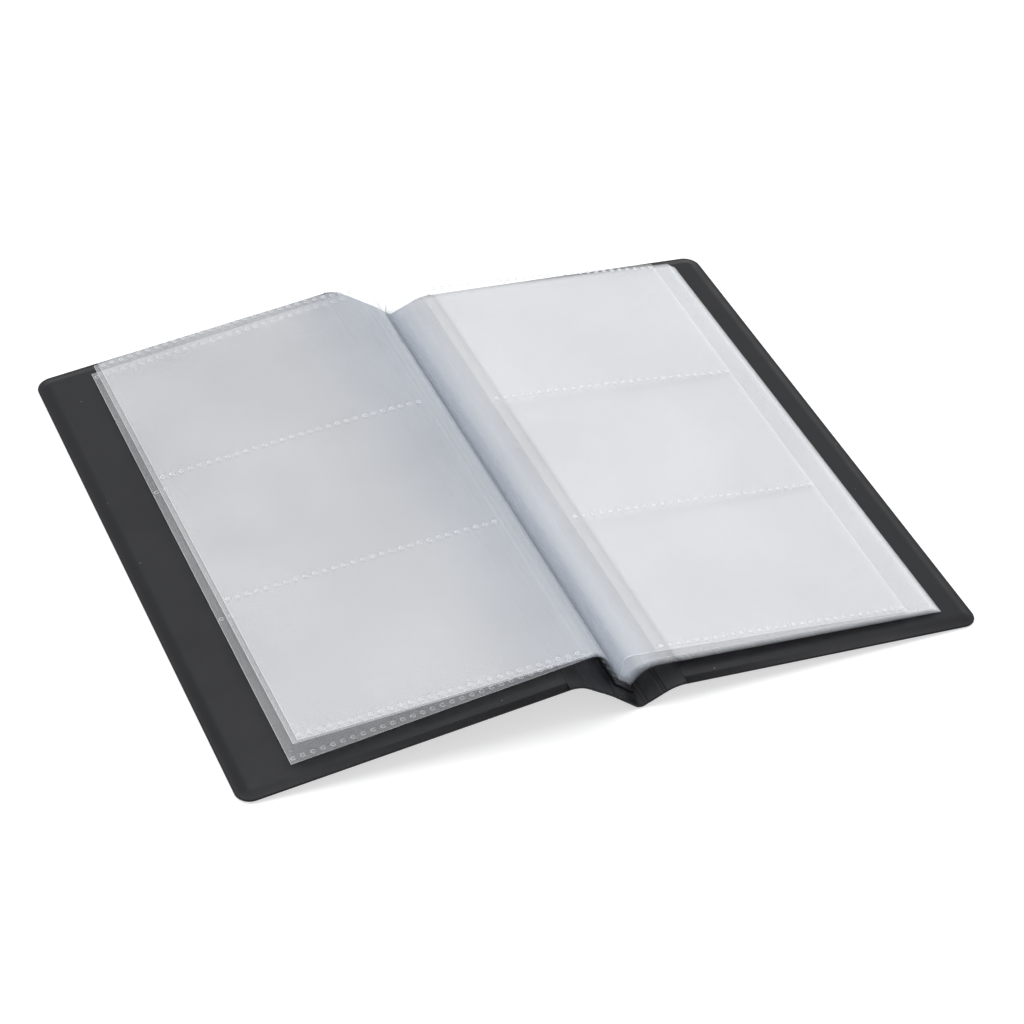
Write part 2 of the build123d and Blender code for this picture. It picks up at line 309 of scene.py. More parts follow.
def carry(section, across):
    """Section points carried along the spine: (x, z) and y become (x, y, z)."""
    x, y, z = np.broadcast_arrays(section[..., 0], across, section[..., 1])
    return np.stack([x, y, z], axis=-1)


def smooth_step(x):
    """Rises from 0 to 1 as 3x² - 2x³, level outside."""
    x = np.clip(x, 0, 1)
    return x * x * (3 - 2 * x)


def quads(rows, columns, wrap_rows=False, wrap_columns=False):
    """Corner numbers of the quads of a grid whose points are numbered row by row."""
    i = np.arange(rows if wrap_rows else rows - 1)[:, None]
    j = np.arange(columns if wrap_columns else columns - 1)[None, :]
    k, m = (i + 1) % rows, (j + 1) % columns
    corners = (i * columns + j, k * columns + j, k * columns + m, i * columns + m)
    return np.stack(np.broadcast_arrays(*corners), axis=-1).reshape(-1, 4)


def make_piece(name, points, faces, material, caps=(), closed=False):
    """Mesh object from an array of points and one of quads, with flat end faces where they are given."""
    mesh = bpy.data.meshes.new(name)
    mesh.from_pydata(points.reshape(-1, 3).tolist(), [], faces.tolist() + [list(cap) for cap in caps])
    smooth = np.ones(len(mesh.polygons), dtype=bool)
    smooth[len(faces):] = False
    mesh.polygons.foreach_set("use_smooth", smooth)
    if closed:
        shell = bmesh.new()
        shell.from_mesh(mesh)
        bmesh.ops.recalc_face_normals(shell, faces=shell.faces)
        shell.to_mesh(mesh)
        shell.free()
    mesh.materials.append(material)
    piece = bpy.data.objects.new(name, mesh)
    bpy.context.scene.collection.objects.link(piece)
    return piece


def mark(piece, name, values):
    """Stores one number per point of a piece for its material."""
    values = np.ascontiguousarray(values, dtype=np.float32).ravel()
    piece.data.attributes.new(name, "FLOAT", "POINT").data.foreach_set("value", values)


def outline(near, far, half, radius):
    """Ring of a panel's outline: straight, with a quarter circle at each outer corner that has a radius."""
    turn = np.radians(np.linspace(-90, 0, CORNER_STEPS if radius > 0 else 1))
    low = np.stack([far - radius + radius * np.cos(turn), -(half - radius) + radius * np.sin(turn)], axis=-1)
    start = np.array([[near, -half]])
    return np.concatenate([start, low, low[::-1] * (1, -1), start * (1, -1)])


def skin_height(inset, slope):
    """Height of a panel's inner face at an inset: a smooth step from the rim's thickness to the panel's."""
    cover = settings().cover
    rise = smooth_step((inset - cover.edge_round) / (slope - cover.edge_round))
    return cover.rim_thickness + (cover.panel_thickness - cover.rim_thickness) * rise


def panel_shell(name, origin, angle, side, width, bends, slope, radius, material):
    """Closed skin of a stiff panel.

    Rings of the outline are carried through a profile of inset and height: a half ellipse round the cut
    edge, then the smooth step up to the panel's thickness. Beside a fold, the inset counts from the rim there,
    and the ring goes no further than the end of the fold's bend.
    """
    cover = settings().cover
    thin, edge = cover.rim_thickness, cover.edge_round
    turn = np.radians(np.linspace(0, 180, NOSE_STEPS))
    nose = np.stack([edge * (1 - np.sin(turn)), thin / 2 * (1 - np.cos(turn))], axis=-1)
    rise = np.linspace(edge, slope, SLOPE_STEPS)[1:]
    step = np.stack([rise, skin_height(rise, slope)], axis=-1)
    inset, up = np.concatenate([[(edge + EDGE_LAP * MM, 0)], nose, step]).T
    near = np.maximum(bends[0], cover.fold_reach + inset)
    far = width - inset
    if bends[1] > 0:
        far = np.minimum(width - bends[1], far - cover.fold_reach)
    half = cover.height / 2 - inset
    flat = np.stack([outline(*row) for row in zip(near, far, half, np.maximum(radius - inset, 0))])
    section = lay(origin, angle, flat[..., 0], up[:, None], side)
    rows, columns = flat.shape[:2]
    ends = [np.arange(columns), (rows - 1) * columns + np.arange(columns)]
    return make_piece(name, carry(section, flat[..., 1]), quads(rows, columns, wrap_columns=True), material,
                      ends, closed=True)


def skin_strip(name, middle, normal, half_thickness, half_length, material):
    """Closed strip of skin along the spine.

    The middle line of its section is thickened by the half thickness to both sides, and at both ends the
    thickness falls off as a quarter ellipse.
    """
    edge = settings().cover.edge_round
    turn = np.radians(np.linspace(15, 90, TIP_STEPS))
    tip, fall = edge * (1 - np.cos(turn)), np.sin(turn)
    run = np.linspace(-1, 1, RUN_STEPS)[1:-1] * (half_length - edge)
    across = np.concatenate([tip - half_length, run, half_length - tip[::-1]])
    fall = np.concatenate([fall, np.ones(len(run)), fall[::-1]])
    half = np.broadcast_to(half_thickness, middle.shape[:1])
    loop = np.concatenate([middle, middle[::-1]])
    offset = np.concatenate([normal * half[:, None], -(normal * half[:, None])[::-1]])
    section = loop[:, None, :] + offset[:, None, :] * fall[None, :, None]
    rows, columns = section.shape[:2]
    ends = [np.arange(rows) * columns, np.arange(rows) * columns + columns - 1]
    return make_piece(name, carry(section, across), quads(rows, columns, wrap_rows=True), material, ends,
                      closed=True)


def web_skin(name, low, high, side):
    """Thin web between two folds: its half thickness is the rim's, less a bell curve at each pressed line."""
    cover = settings().cover
    half = cover.rim_thickness / 2
    web = bearing(low, high)
    along = np.linspace(cover.spine_bend, np.linalg.norm(high - low) - cover.cover_bend, WEB_STEPS)
    lines = along[[SEAL_STEP, -1 - SEAL_STEP]]
    grooves = np.exp(-((along[:, None] - lines) / (SEAL_WIDTH * MM)) ** 2).sum(axis=1)
    normal = np.broadcast_to(polar(1.0, web + 90 * side), (WEB_STEPS, 2))
    return skin_strip(name, lay(low, web, along, half, side), normal, half - cover.seal_depth * grooves,
                      cover.height / 2, cover_skin())


def fold_line(corner, angle_in, angle_out, reach, side, stiff_end, slope):
    """Middle line, normals and half thickness of a rounded fold.

    The outer line is the arc that touches both directions at the fold's reach. The thickness follows the
    smooth step of the stiff panel that the fold ends at.
    """
    part = np.linspace(0, 1, FOLD_STEPS)
    turn = angle_out - angle_in
    radius = reach / np.tan(np.radians(turn / 2))
    centre = corner - polar(reach, angle_in) + polar(radius, angle_in + 90)
    normal = polar(1.0, angle_in + turn * part + 90)
    half = skin_height(stiff_end * reach * (2 * part - 1) - settings().cover.fold_reach, slope) / 2
    return centre - normal * (radius - side * half)[:, None], normal, half


def strip_bar():
    """Bar of the binding strip: its half thickness falls as an ellipse at both long sides."""
    cover = settings().cover
    reach = cover.strip_width / 2
    across = reach * np.sin(np.radians(np.linspace(-90, 90, STRIP_STEPS)))
    rim = np.clip((np.abs(across) - (reach - STRIP_ROUND * MM)) / (STRIP_ROUND * MM), 0, 1)
    half = cover.strip_thickness / 2 * np.sqrt(1 - STRIP_FALL * rim ** 2)
    height = cover.panel_thickness + cover.strip_thickness / 2
    normal = np.broadcast_to(polar(1.0, spine_lie() - 90), (STRIP_STEPS, 2))
    middle = lay(BACK_SPINE_FOLD, spine_lie(), spine_width() / 2 + across, height, -1)
    return skin_strip("binding_strip_bar", middle, normal, half, cover.height / 2 - cover.strip_inset,
                      strip_skin())


def pocket_rows():
    """Positions of the weld rows along the spine."""
    leaf = settings().leaf
    reach = leaf.height / 2 - leaf.weld_edge
    return np.linspace(-reach, reach, leaf.pockets + 1)


def settle(number, along, across):
    """How a leaf lies off its flat shape, as a height and a share of its width.

    The upper left leaves twist: with the 1.5th power of the width, their near outer corner lifts and the far
    one sinks. They and the top right leaf arch as half a sine over the width, mostly at the far end, and that
    leaf draws in evenly towards the near end. All leaves ripple as a product of two sines.
    """
    leaf = settings().leaf
    out = np.clip(along / leaf.width, 0, 1)
    near = np.clip(0.5 - across / leaf.height, 0, 1)
    far = 1 - near
    waves = [np.sin(2 * np.pi * (place / (length * MM) + shift * number))
             for place, length, shift in zip((along, across), RIPPLE_LENGTHS, RIPPLE_SHIFTS)]
    height = RIPPLE_HEIGHT * MM * (waves[0] * waves[1]) * smooth_step(out * 4)
    draw = np.ones_like(out * near)
    if number in UPPER_LEFT:
        twist = leaf.corner_rise * near ** 1.2 - leaf.corner_drop * far ** 1.2
        arch = leaf.left_arch * (0.2 + 0.8 * far ** 1.5) * np.sin(np.pi * out ** 0.7)
        height = height - twist * out ** 1.5 - arch
    if number == TOP_RIGHT:
        height = height + leaf.right_arch * (0.1 + 0.9 * far ** 1.5) * np.sin(np.pi * out ** 0.8)
        draw = 1 - leaf.edge_draw * near * out
    return height, draw


def leaf_point(number, along, across, up):
    """Point of a leaf at a distance from its mouth line, a place along the spine and a height."""
    leaf = LEAVES[number]
    height, draw = settle(number, along, across)
    return carry(lay(np.array(leaf.mouth) * MM, leaf.lie, along * draw, up + height), across)


def leaf_columns():
    """Places along the spine at which a film has points: close at its cut edges and weld rows."""
    rows = pocket_rows()
    edges = settings().leaf.height / 2 - np.array(BESIDE_CUT) * MM
    beside = (rows[:, None] + np.array(BESIDE_ROW) * MM).ravel()
    inner = [np.linspace(a + 2 * MM, b - 2 * MM, POCKET_STEPS) for a, b in zip(rows[:-1], rows[1:])]
    return np.sort(np.concatenate([edges, -edges, beside, *inner]))


def whiteness_and_crest_highlight(number, along, across, is_front):
    """Whiteness of a pocket film: the largest of its values at cut ends, seam, fold and mouth and of the
    painted highlight at a left leaf's crest.
    """
    leaf = settings().leaf
    left = number <= LEFT_LEAVES
    near = WHITE_REACH * MM
    cut = np.abs(across) > leaf.height / 2 - near
    seam = np.abs(along - (leaf.width - SEAM * MM)) < near / 2
    fold = along > leaf.width - near
    mouth = (is_front > 0) & (along < leaf.mouth_set_back + near)
    # Painted highlight on a left leaf's film just past the crest
    crest = left & (along < CREST_ON_LEAF * MM)
    rim = MOUTH_WHITE_LEFT if left else MOUTH_WHITE_RIGHT
    return np.maximum.reduce(np.broadcast_arrays(CUT_WHITE * cut, SEAM_WHITE * seam, FOLD_WHITE * fold,
                                                 rim * mouth, CREST_HIGHLIGHT[-1] * crest))


def pocket_film(number):
    """One film folded at the outer edge: front film, round fold and back film of a leaf.

    The front film stands off by the pocket's bulge, the 0.6th power of a parabola between two weld rows,
    is drawn down to the back film at each row, and closes to the fold over its last 8 mm.
    """
    leaf = settings().leaf
    across = leaf_columns()
    low, high, width = leaf.back_rise, leaf.front_rise, leaf.width
    radius = (high - low) / 2
    seam = width - np.array(BESIDE_SEAM) * MM
    front = np.concatenate([leaf.mouth_set_back + np.array(BESIDE_MOUTH) * MM,
                            np.linspace(5 * MM, width - 4 * MM, FILM_STEPS), seam])
    turn = np.radians(np.linspace(0, 180, FILM_FOLD_STEPS))
    fold = width - radius + radius * np.sin(turn)
    back = np.concatenate([seam[::-1], np.linspace(width - 4 * MM, 3 * MM, FILM_STEPS),
                           np.array([1.2, 0]) * MM])
    along = np.concatenate([front, fold, back])[:, None]
    rows = pocket_rows()
    place = (across - rows[0]) / (rows[1] - rows[0])
    inside = np.where((across > rows[0]) & (across < rows[-1]), place - np.floor(place), 0)
    closing = smooth_step((width - SEAM * MM - along) / (POCKET_CLOSE * MM))
    opening = (4 * inside * (1 - inside)) ** POCKET_POWER * closing
    pinch = np.exp(-((across[:, None] - rows).T / (PINCH_REACH * MM)) ** 2).sum(axis=0)
    up = np.concatenate([np.full(len(front), high), (high + low) / 2 + radius * np.cos(turn),
                         np.full(len(back), low)])
    is_front = np.concatenate([np.ones(len(front)), np.zeros(len(fold) + len(back))])[:, None]
    up = up[:, None] + is_front * (leaf.bulge * opening - PINCH_SHARE * (high - low) * pinch)
    points = leaf_point(number, along, across, up)
    piece = make_piece(f"leaf_{number:02d}_pocket_film", points, quads(*points.shape[:2]), clear_film())
    mark(piece, "film_whitening_and_highlight", whiteness_and_crest_highlight(number, along, across, is_front))
    # Painted shade: the left leaves get the darker, bluer tint near the gutter, fading over the shade's reach.
    shade = np.exp(-(along / (SHADE_REACH * MM)) ** 2) * (number <= LEFT_LEAVES)
    mark(piece, "painted_gutter_shade", np.broadcast_to(shade, points.shape[:2]))
    return piece


def margin_line(number, sink):
    """Points of a margin from the strip to the mouth line, and their lengths along the film.

    The line is a cubic whose ends keep their directions over the hold length, at the back film's height or
    sunk below it.
    """
    leaf = LEAVES[number]
    up = settings().leaf.back_rise - sink
    root, mouth = np.array(leaf.root) * MM, np.array(leaf.mouth) * MM
    hold = leaf.hold * MM - 4 / 3 * np.tan(np.radians((leaf.lie - leaf.leave) / 4)) * up
    spine = spine_lie()
    end = lay(mouth, leaf.lie, 0, up)
    a, b, c, d = (root + polar(up / np.sin(np.radians(spine - leaf.leave)), spine),
                  lay(root, leaf.leave, hold, up), end - polar(hold, leaf.lie), end)
    t = np.linspace(0, 1, LINE_STEPS)[:, None]
    line = (1 - t) ** 3 * a + 3 * (1 - t) ** 2 * t * b + 3 * (1 - t) * t ** 2 * c + t ** 3 * d
    length = np.concatenate([[0], np.cumsum(np.linalg.norm(np.diff(line, axis=0), axis=1))])
    return line, length


def margin_film(name, number, start, stop, sink=0.0, double=False):
    """Strip of a margin between two lengths of its film, carried along the spine, and its section.

    Without a length to stop at, it goes on to the mouth line. Where the margin is double, each of its films
    has half the haze.
    """
    line, length = margin_line(number, sink)
    left, last = number <= LEFT_LEAVES, stop is None
    stop = length[-1] if last else stop
    marks = np.linspace(start, stop, max(4, int(round((stop - start) / (MARGIN_STEP * MM))) + 1))
    section = np.stack([np.interp(marks, length, line[:, 0]), np.interp(marks, length, line[:, 1])], axis=-1)
    columns = leaf_columns()
    across = np.concatenate([columns[::2][:-1], columns[-1:]])
    points = carry(section[:, None, :], across)
    piece = make_piece(name, points, quads(*points.shape[:2]), clear_film())
    white = np.full(points.shape[:2], settings().finish.margin_haze)
    white[:, [0, -1]] += END_WHITE.get(number, END_FAINT)
    white -= DOUBLE_THIN * (double & (marks < (DOUBLE_TO + 0.1) * MM))[:, None]
    white += ROOT_WHITE.get(number, ROOT_FAINT) * (1 - smooth_step(marks / (ROOT_REACH * MM)))[:, None]
    # Painted highlight along the crest where a left margin bends over
    if left and last:
        white += np.interp(marks / MM, CREST_MARKS, CREST_HIGHLIGHT)[:, None]
    mark(piece, "film_whitening_and_highlight", white)
    # Painted shade on the margins in the gutter: full on left margins, fading out towards the mouth on right
    # ones.
    shade = np.ones(points.shape[:2])
    if not left:
        shade -= smooth_step(marks / length[-1] * 2 - 1)[:, None]
    mark(piece, "painted_gutter_shade", shade)
    return piece, section


def weld_rows(number):
    """Chain of weld rings along every row of a leaf.

    A ring is an open circle of five sixths of a turn, its ridge is a flat diamond that stands out of both
    films, and the film inside it is pressed to a flat disc.
    """
    leaf = settings().leaf
    turn = np.radians(np.linspace(-RING_TURN, RING_TURN, RING_STEPS))
    side = leaf.weld_radius + leaf.weld_wire * np.array([1, 0, -1, 0])
    rise = np.broadcast_to(np.array([0, RING_RISE, 0, -RING_RISE]) * MM, (RING_STEPS, 4))
    disc = leaf.weld_radius * np.concatenate([[0], np.ones(RING_STEPS)])
    disc_turn = np.concatenate([[0], turn])
    ring_along = np.concatenate([np.outer(np.cos(turn), side).ravel(), disc * np.cos(disc_turn)]) * RING_STRETCH
    ring_across = np.concatenate([np.outer(np.sin(turn), side).ravel(), disc * np.sin(disc_turn)])
    ring_up = np.concatenate([rise.ravel(), np.zeros(RING_STEPS + 1)])
    places = np.arange(leaf.width - RING_FROM_FOLD * MM, leaf.mouth_set_back + RING_FROM_MOUTH * MM,
                       -leaf.weld_pitch)
    rows = pocket_rows()
    facing = np.where(rows > 0, -1, 1)
    along = places[None, :, None] + ring_along
    across = rows[:, None, None] + facing[:, None, None] * ring_across
    up = (leaf.back_rise + RING_LIFT * MM) + ring_up
    points = leaf_point(number, *np.broadcast_arrays(along, across, up))
    ridge, count = RING_STEPS * 4, points.shape[2]
    first = np.arange(len(rows) * len(places))[:, None, None] * count
    faces = (quads(RING_STEPS, 4, wrap_columns=True)[None] + first).reshape(-1, 4)
    ends = (np.array([[0, 1, 2, 3], np.arange(ridge - 4, ridge)])[None] + first).reshape(-1, 4)
    rim = ridge + 1 + np.arange(RING_STEPS)
    fan = np.stack([np.full(RING_STEPS, ridge), rim, np.roll(rim, -1)], axis=-1)
    fans = (fan[None] + first).reshape(-1, 3)
    piece = make_piece(f"leaf_{number:02d}_weld_rows", points, faces, welded_film(),
                       ends.tolist() + fans.tolist(), closed=True)
    strength = np.full(points.shape[:3], WELD_STRENGTH.get(number, WELD_FAINT))
    strength[:, :, ridge:] *= WELD_FILL.get(number, WELD_FILL_FAINT)
    if number == LOWEST_LEFT:
        strength[1:-1, OPEN_RINGS:] *= COVERED_ROWS
    mark(piece, "weld_strength", strength)
    return piece


def root_beads():
    """Row of flat weld beads along each leaf's root: six-sided domes of two rings and a top."""
    height = settings().leaf.height
    turn = np.radians(np.arange(BEAD_SIDES) * 360 / BEAD_SIDES)
    reach = np.array([1.0, BEAD_SHOULDER])[:, None] * BEAD_RADIUS * MM
    along = np.concatenate([(reach * np.cos(turn)).ravel(), [0]])
    across = np.concatenate([(reach * np.sin(turn) * BEAD_STRETCH).ravel(), [0]])
    up = np.repeat(BEAD_HEIGHTS, (BEAD_SIDES, BEAD_SIDES, 1)) * MM
    marks = np.arange(-height / 2 + BEAD_FIRST * MM, height / 2 - BEAD_LAST * MM, BEAD_PITCH * MM)
    roots = np.array([leaf.root for leaf in LEAVES.values()]) * MM
    section = lay(roots[:, None, None, :], spine_lie(), along, up, -1)
    section = np.broadcast_to(section, (len(roots), len(marks), len(up), 2))
    points = carry(section, marks[None, :, None] + across)
    first = (np.arange(len(roots) * len(marks)) * len(up))[:, None, None]
    wall = (quads(2, BEAD_SIDES, wrap_columns=True)[None] + first).reshape(-1, 4)
    base = np.arange(BEAD_SIDES)
    shoulder = BEAD_SIDES + base
    top = np.stack([shoulder, np.roll(shoulder, -1), np.full(BEAD_SIDES, len(up) - 1)], axis=-1)
    tops = (top[None] + first).reshape(-1, 3).tolist()
    bases = (base[None, :] + first[:, 0]).tolist()
    piece = make_piece("root_weld_beads", points, wall, welded_film(), tops + bases, closed=True)
    mark(piece, "weld_strength", np.full(points.shape[:3], BEAD_STRENGTH))
    return piece


# Materials

def feed(tree, node, inputs):
    """Fills a node's inputs: sockets and (node, output) pairs are linked, and plain values are set."""
    for key, source in inputs.items():
        if isinstance(source, tuple) and isinstance(source[0], bpy.types.Node):
            source = source[0].outputs[source[1]]
        if isinstance(source, bpy.types.NodeSocket):
            tree.links.new(source, node.inputs[key])
        else:
            node.inputs[key].default_value = source


def add(tree, kind, inputs=None, **values):
    """New node with its settings and its inputs."""
    node = tree.nodes.new(kind)
    for key, value in values.items():
        setattr(node, key, value)
    feed(tree, node, inputs or {})
    return node


def maths(tree, operation, first, second, **values):
    """Number worked out from two others."""
    node = add(tree, "ShaderNodeMath", {0: first, 1: second}, operation=operation, **values)
    return node.outputs["Value"]


def spread(tree, source, low, high):
    """Number that runs from low to high as the source runs from 0 to 1."""
    return add(tree, "ShaderNodeMapRange", {"Value": source, "To Min": low, "To Max": high}).outputs["Result"]


def mix_colours(tree, factor, low, high):
    """Colour between two others by a factor."""
    return add(tree, "ShaderNodeMix", {0: factor, 6: low, 7: high}, data_type="RGBA").outputs[2]


def opaque(tint, strength=1.0):
    """Opaque colour, made lighter or darker by its strength."""
    return (*(min(1, c * strength) for c in tint), 1)


def noise(tree, place, scale, detail):
    """Noise at a place, as a value about 0.5."""
    return add(tree, "ShaderNodeTexNoise", {"Vector": place, "Scale": scale, "Detail": detail}).outputs["Fac"]


def node_group(name, inputs, outputs):
    """New shader group that reads a place, with its sockets and the nodes at its two ends."""
    group = bpy.data.node_groups.new(name, "ShaderNodeTree")
    group.interface.new_socket(name="Vector", in_out="INPUT", socket_type="NodeSocketVector")
    for label, default in inputs:
        socket = group.interface.new_socket(name=label, in_out="INPUT", socket_type="NodeSocketFloat")
        socket.default_value = default
    for label in outputs:
        group.interface.new_socket(name=label, in_out="OUTPUT", socket_type="NodeSocketFloat")
    return group, group.nodes.new("NodeGroupInput"), group.nodes.new("NodeGroupOutput")


def grain_group():
    """Pressed grain of plastic skin: fine cells under a slow swell, as a height from 0 to 1."""
    group, start, end = node_group("Skin grain", (("Cells", 1400.0), ("Swell", 120.0)), ("Height", "Swell"))
    cells = noise(group, (start, "Vector"), (start, "Cells"), 2.0)
    swell = noise(group, (start, "Vector"), (start, "Swell"), 3.0)
    height = maths(group, "MULTIPLY", maths(group, "ADD", cells, swell), 0.5)
    feed(group, end, {"Height": height, "Swell": swell})
    return group


def dust_group():
    """Scattered dust: small spots at the points of some cells, as a mask."""
    group, start, end = node_group("Dust specks", (("Scale", 160.0), ("Size", 0.045)), ("Mask",))
    cells = add(group, "ShaderNodeTexVoronoi", {"Vector": (start, "Vector"), "Scale": (start, "Scale")})
    spot = maths(group, "LESS_THAN", (cells, "Distance"), (start, "Size"))
    pick = add(group, "ShaderNodeSeparateColor", {"Color": (cells, "Color")})
    some = maths(group, "GREATER_THAN", (pick, "Red"), 0.55)
    feed(group, end, {"Mask": maths(group, "MULTIPLY", spot, some)})
    return group


def cloud_group():
    """Slow cloudiness of a film or skin, as a value about 0.5."""
    group, start, end = node_group("Cloudiness", (("Scale", 22.0),), ("Value",))
    feed(group, end, {"Value": noise(group, (start, "Vector"), (start, "Scale"), 2.0)})
    return group


def group_node(tree, name, maker, **values):
    """Places a group in a material, building it the first time."""
    place = add(tree, "ShaderNodeTexCoord")
    return add(tree, "ShaderNodeGroup", {"Vector": (place, "Object"), **values},
               node_tree=bpy.data.node_groups.get(name) or maker())


def dressed(name, dress, *values):
    """Material of that name, whose nodes the given function makes the first time."""
    material = bpy.data.materials.get(name)
    if material is None:
        material = bpy.data.materials.new(name)
        material.use_nodes = True
        dress(material.node_tree, material.node_tree.nodes["Principled BSDF"], *values)
    return material


def dress_skin(tree, shader, base, roughness, specular, cells, depth):
    """Satin black plastic with a pressed grain, uneven gloss and a little dust."""
    grain = group_node(tree, "Skin grain", grain_group, Cells=cells)
    dust = group_node(tree, "Dust specks", dust_group)
    cloud = group_node(tree, "Cloudiness", cloud_group, Scale=26.0)
    tone = mix_colours(tree, (cloud, "Value"), opaque(base, 0.75), opaque(base, 1.3))
    bump = add(tree, "ShaderNodeBump", {"Height": (grain, "Height"), "Strength": 0.5, "Distance": depth})
    feed(tree, shader, {
        "Base Color": mix_colours(tree, (dust, "Mask"), tone, opaque(settings().finish.dust)),
        "Roughness": spread(tree, (grain, "Swell"), roughness - 0.1, roughness + 0.1),
        "Normal": (bump, "Normal"),
        "IOR": 1.5,
        "Specular IOR Level": specular,
    })


def dress_film(tree, shader):
    """Clear, slightly hazy film: a thin veil of white, whiter at its edges and bends, with a painted highlight
    along the left crest, painted bluish shade in the gutter and a soft gloss.
    """
    finish = settings().finish
    cloud = group_node(tree, "Cloudiness", cloud_group, Scale=24.0)
    swell = group_node(tree, "Cloudiness", cloud_group, Scale=14.0)
    edge = add(tree, "ShaderNodeAttribute", attribute_name="film_whitening_and_highlight")
    shade = add(tree, "ShaderNodeAttribute", attribute_name="painted_gutter_shade")
    tone = mix_colours(tree, (cloud, "Value"), opaque(finish.film), opaque(finish.film, 1.05))
    haze = spread(tree, (cloud, "Value"), finish.haze * 0.8, finish.haze * 1.2)
    # Painted shade: the gutter shade thins the veil and turns the colour to the bluer film shade, standing in
    # for the dim reflection in the gutter.
    veil = maths(tree, "MULTIPLY", haze, spread(tree, (shade, "Fac"), 1.0, 0.82))
    # The whitening also carries the painted highlight along the left crest.
    white = maths(tree, "MULTIPLY", (edge, "Fac"), 0.55)
    bump = add(tree, "ShaderNodeBump", {"Height": (swell, "Value"), "Strength": 0.35, "Distance": 0.0012})
    feed(tree, shader, {
        "Base Color": mix_colours(tree, (shade, "Fac"), tone, opaque(finish.shade)),
        "Alpha": maths(tree, "ADD", white, veil, use_clamp=True),
        "Roughness": spread(tree, (cloud, "Value"), 0.2, 0.34),
        "Normal": (bump, "Normal"),
        "IOR": 2.3,
    })


def dress_weld(tree, shader):
    """Film whitened by heat: denser than the film, with fine unevenness."""
    base = settings().finish.weld
    grain = group_node(tree, "Skin grain", grain_group, Cells=2200.0, Swell=240.0)
    strength = add(tree, "ShaderNodeAttribute", attribute_name="weld_strength")
    feed(tree, shader, {
        "Base Color": mix_colours(tree, (grain, "Swell"), opaque(base, 0.88), opaque(base)),
        "Alpha": maths(tree, "MULTIPLY", (strength, "Fac"), spread(tree, (grain, "Swell"), 0.3, 0.6)),
        "Roughness": spread(tree, (grain, "Height"), 0.25, 0.5),
    })


def dress_board(tree, shader):
    """Grey pulp board with fibres and dark flecks."""
    base = settings().finish.board
    grain = group_node(tree, "Skin grain", grain_group, Cells=900.0, Swell=90.0)
    feed(tree, shader, {
        "Base Color": mix_colours(tree, (grain, "Height"), opaque(base, 0.7), opaque(base, 1.25)),
        "Roughness": spread(tree, (grain, "Height"), 0.8, 0.98),
    })


def cover_skin():
    """Black skin of the cover."""
    return dressed("Cover skin", dress_skin, settings().finish.vinyl, 0.48, 0.18, 1500.0, 0.00004)


def strip_skin():
    """Black plastic of the binding strip."""
    return dressed("Strip skin", dress_skin, settings().finish.strip, 0.4, 0.2, 900.0, 0.00003)


def clear_film():
    """Film of the pockets and margins."""
    return dressed("Clear film", dress_film)


def welded_film():
    """Film of the weld rings and beads."""
    return dressed("Welded film", dress_weld)


# Placing

def settle_in(piece, body, slot, *nodes):
    """Puts a piece on its body and hides the nodes that it stands for. Its slot is not used."""
    if body:
        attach(piece, body)
    if nodes:
        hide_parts(*nodes)
    return piece


def bend_between(piece, ends):
    """Bakes a piece's transform into its mesh.

    The ends are not used.
    """
    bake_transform(piece)


def left_margin(number):
    """Margin of a left leaf: two films that are left unattached, and one that goes with the leaf."""
    body = f"leaf_{number:02d}"
    low, high = WEB_SHARES[number]
    for step, start, stop, shares in ((1, 0.0, DOUBLE_FROM, (0.0, low)),
                                      (2, DOUBLE_FROM, DOUBLE_TO, (low, high))):
        piece, section = margin_film(f"{body}_margin_film_{step}", number, start * MM, stop * MM,
                                     DOUBLE_GAP * MM, step == 2)
        bend_between(piece, carry(section[[0, -1]], 0.0))
        settle_in(piece, None, "clear_film", f"{body}_margin")
    piece, section = margin_film(f"{body}_margin_film_3", number, DOUBLE_FROM * MM, None, double=True)
    settle_in(piece, body, "clear_film", f"{body}_margin")
    carry(polar(1.0, LEAVES[number].lie + 90), 0.0)
    carry(section[-1], 0.0)
    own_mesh(piece)


def right_margin(number):
    """Margin of a right leaf: one run of film from each body that it passes to the next."""
    body = f"leaf_{number:02d}"
    passed = range(max(number, FIRST_STAYING), number - 1, -1)
    runs = len(passed)
    starts = [0.0, *(mark_at * MM for mark_at in MARGIN_CHANGES[:runs - 1])]
    for step, start, stop in zip(range(runs), starts, [*starts[1:], None]):
        name = f"{body}_margin_film" + (f"_{step + 1}" if runs > 1 else "")
        piece, section = margin_film(name, number, start, stop)
        ends = carry(section[[0, -1]], 0.0)
        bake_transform(piece)
        settle_in(piece, None, "clear_film", f"{body}_margin")


# Stage

def facing_matrix(right, up, back, place):
    """Matrix of an object with the given directions and place."""
    turn = np.eye(4)
    turn[:3, :4] = np.stack([right, up, back, place], axis=-1)
    return Matrix(turn)


def seen_directly(tree):
    """Mask of the rays that show what they meet: from the camera, off a gloss or through a film."""
    path = add(tree, "ShaderNodeLightPath")
    seen = maths(tree, "MAXIMUM", (path, "Is Camera Ray"), (path, "Is Glossy Ray"))
    return maths(tree, "MAXIMUM", seen, (path, "Is Transmission Ray"))


def studio_world(strength):
    """Even room light that is seen as white."""
    world = bpy.data.worlds.new("Studio")
    world.use_nodes = True
    tree = world.node_tree
    tree.nodes.clear()
    room = add(tree, "ShaderNodeBackground", {"Color": (0.97, 0.985, 1.0, 1), "Strength": strength})
    white = add(tree, "ShaderNodeBackground", {"Color": (1, 1, 1, 1), "Strength": 1.0})
    mix = add(tree, "ShaderNodeMixShader",
              {0: seen_directly(tree), 1: (room, "Background"), 2: (white, "Background")})
    add(tree, "ShaderNodeOutputWorld", {"Surface": (mix, "Shader")})
    return world


